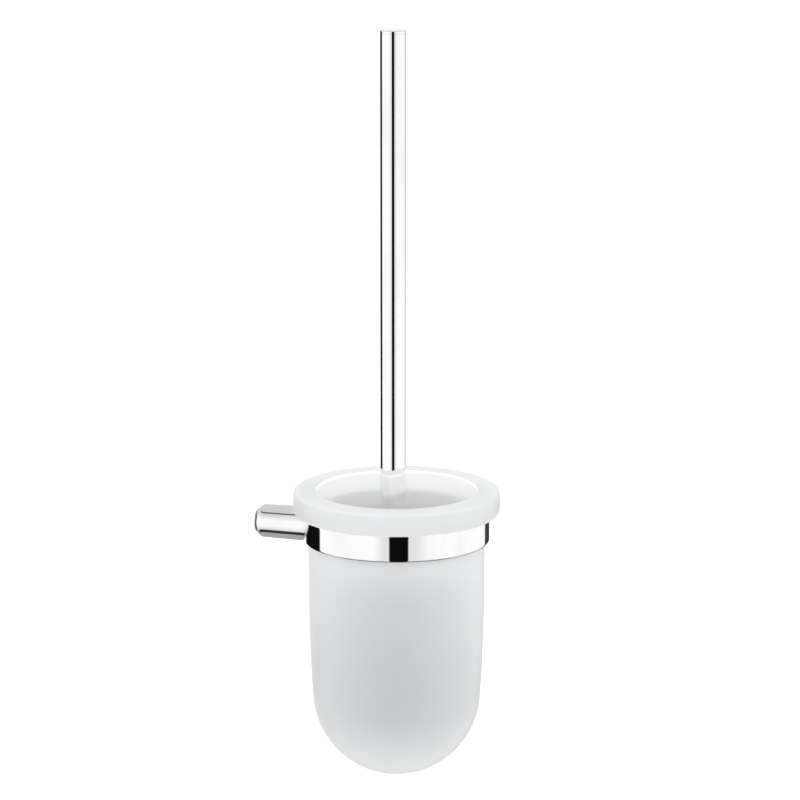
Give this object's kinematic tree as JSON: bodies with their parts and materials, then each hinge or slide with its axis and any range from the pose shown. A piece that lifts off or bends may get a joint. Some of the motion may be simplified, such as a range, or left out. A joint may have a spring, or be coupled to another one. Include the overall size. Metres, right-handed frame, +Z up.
{
  "type": "toilet brush holder",
  "caption": "Wall-hung toilet brush holder: a frosted glass bowl in a chrome ring on a round arm, with a chrome-handled brush.",
  "frame": {"origin": "on the wall plane, at the centre of the arm's wall end", "axes": "+X out of the wall along the arm, +Z up"},
  "size_m": [0.133, 0.11, 0.4005],
  "materials": {
    "chrome": "mirror polished",
    "steel": "satin",
    "liner": "translucent",
    "frosted_glass": "satin etched",
    "white_plastic": "satin",
    "bristle": "nylon filament"
  },
  "bodies": {
    "holder": {"wall_bracket": "steel", "arm": "chrome", "grub_screw": "steel", "ring": "chrome", "ring_screw": "steel", "bowl_liner": "liner"},
    "bowl": {"glass_bowl": "frosted_glass"},
    "brush": {"handle_tube": "chrome", "handle_cap": "chrome", "handle_insert": "steel", "head_stud": "steel", "brush_core": "white_plastic", "bristle_tip": "bristle", "bristle_row_1": "bristle", "bristle_row_2": "bristle", "bristle_row_3": "bristle", "bristle_row_4": "bristle", "bristle_row_5": "bristle", "bristle_row_6": "bristle", "bristle_row_7": "bristle", "bristle_row_8": "bristle", "bristle_row_9": "bristle"}
  },
  "joints": [
    {"name": "bowl_lift", "type": "slide", "parent": "holder", "child": "bowl", "axis": [0, 0, 1], "range_m": [0, 0.165]},
    {"name": "brush_lift", "type": "slide", "parent": "bowl", "child": "brush", "axis": [0, 0, 1], "range_m": [0, 0.17]}
  ]
}
